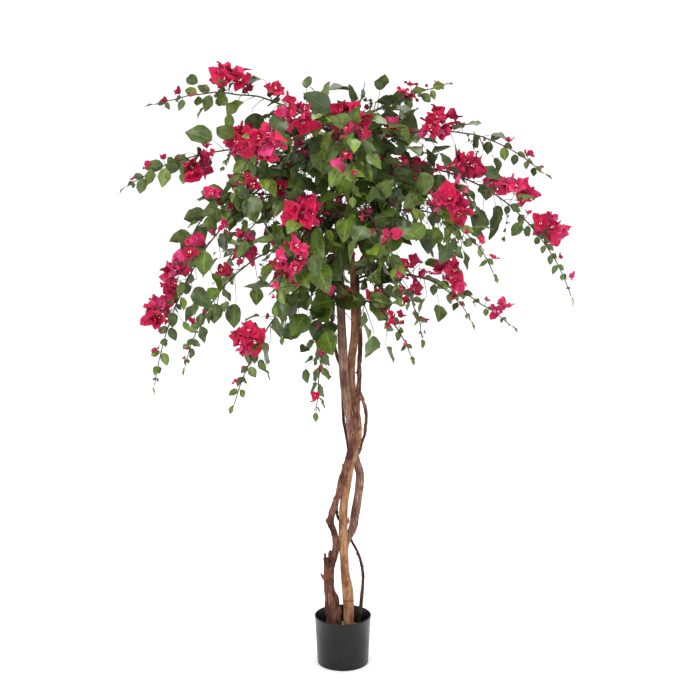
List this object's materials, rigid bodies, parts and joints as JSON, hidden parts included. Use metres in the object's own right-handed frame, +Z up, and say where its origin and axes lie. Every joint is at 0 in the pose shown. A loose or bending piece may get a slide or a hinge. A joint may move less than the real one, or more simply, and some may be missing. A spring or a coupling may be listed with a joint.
{
  "type": "artificial potted bougainvillea tree",
  "caption": "Artificial bougainvillea tree with twined wooden stems, arching sprays of cloth leaves and pink bracts, set in a plain round filled pot.",
  "frame": {"origin": "middle of the pot's flat underside", "axes": "+Z up along the plant, -Y out of its front, +X to the right of someone who faces it"},
  "size_m": [1.3292, 0.8801, 1.8022],
  "materials": {
    "pot_plastic": "satin moulded",
    "fill_cement": "rough cast cement",
    "smooth_wood": "dry, partly peeled",
    "bark_wood": "gnarled dry bark",
    "wrapped_wire": "paper and cloth wrapped wire",
    "foliage_cloth": "printed cloth",
    "bract_cloth": "printed cloth"
  },
  "bodies": {
    "root": {"pot": "pot_plastic", "pot_fill": "fill_cement", "stem_smooth": "smooth_wood", "stem_tan": "smooth_wood", "stem_gnarled": "bark_wood", "vine_long": "bark_wood", "bough_top_left": "wrapped_wire", "leaves_top_left": "foliage_cloth", "bough_left": "wrapped_wire", "leaves_left": "foliage_cloth", "bough_low_left": "wrapped_wire", "leaves_low_left": "foliage_cloth", "leaves_low_left_tail": "foliage_cloth", "bough_mid_left": "wrapped_wire", "leaves_mid_left": "foliage_cloth", "bough_inner_left": "wrapped_wire", "leaves_inner_left": "foliage_cloth", "leaves_inner_left_tail": "foliage_cloth", "bough_hang_left": "wrapped_wire", "leaves_hang_left": "foliage_cloth", "leaves_hang_left_tail": "foliage_cloth", "bough_hang_front_left": "wrapped_wire", "leaves_hang_front_left": "foliage_cloth", "bough_front_left": "wrapped_wire", "leaves_front_left": "foliage_cloth", "bough_front_top_left": "wrapped_wire", "leaves_front_top_left": "foliage_cloth", "bough_front_top": "wrapped_wire", "leaves_front_top": "foliage_cloth", "bough_front_right": "wrapped_wire", "leaves_front_right": "foliage_cloth", "bough_hang_front_right": "wrapped_wire", "leaves_hang_front_right": "foliage_cloth", "bough_under_front_right": "wrapped_wire", "leaves_under_front_right": "foliage_cloth", "bough_under_right": "wrapped_wire", "leaves_under_right": "foliage_cloth", "bough_mid_right": "wrapped_wire", "leaves_mid_right": "foliage_cloth", "bough_low_right": "wrapped_wire", "leaves_low_right": "foliage_cloth", "leaves_low_right_tail": "foliage_cloth", "bough_right": "wrapped_wire", "leaves_right": "foliage_cloth", "bough_top_right": "wrapped_wire", "leaves_top_right": "foliage_cloth", "bough_back_top": "wrapped_wire", "leaves_back_top": "foliage_cloth", "bough_back_top_left": "wrapped_wire", "leaves_back_top_left": "foliage_cloth", "bough_back_right": "wrapped_wire", "leaves_back_right": "foliage_cloth", "bough_back_left": "wrapped_wire", "leaves_back_left": "foliage_cloth", "bough_back": "wrapped_wire", "leaves_back": "foliage_cloth", "bough_back_low": "wrapped_wire", "leaves_back_low": "foliage_cloth", "bough_back_low_right": "wrapped_wire", "leaves_back_low_right": "foliage_cloth"}
  },
  "joints": []
}
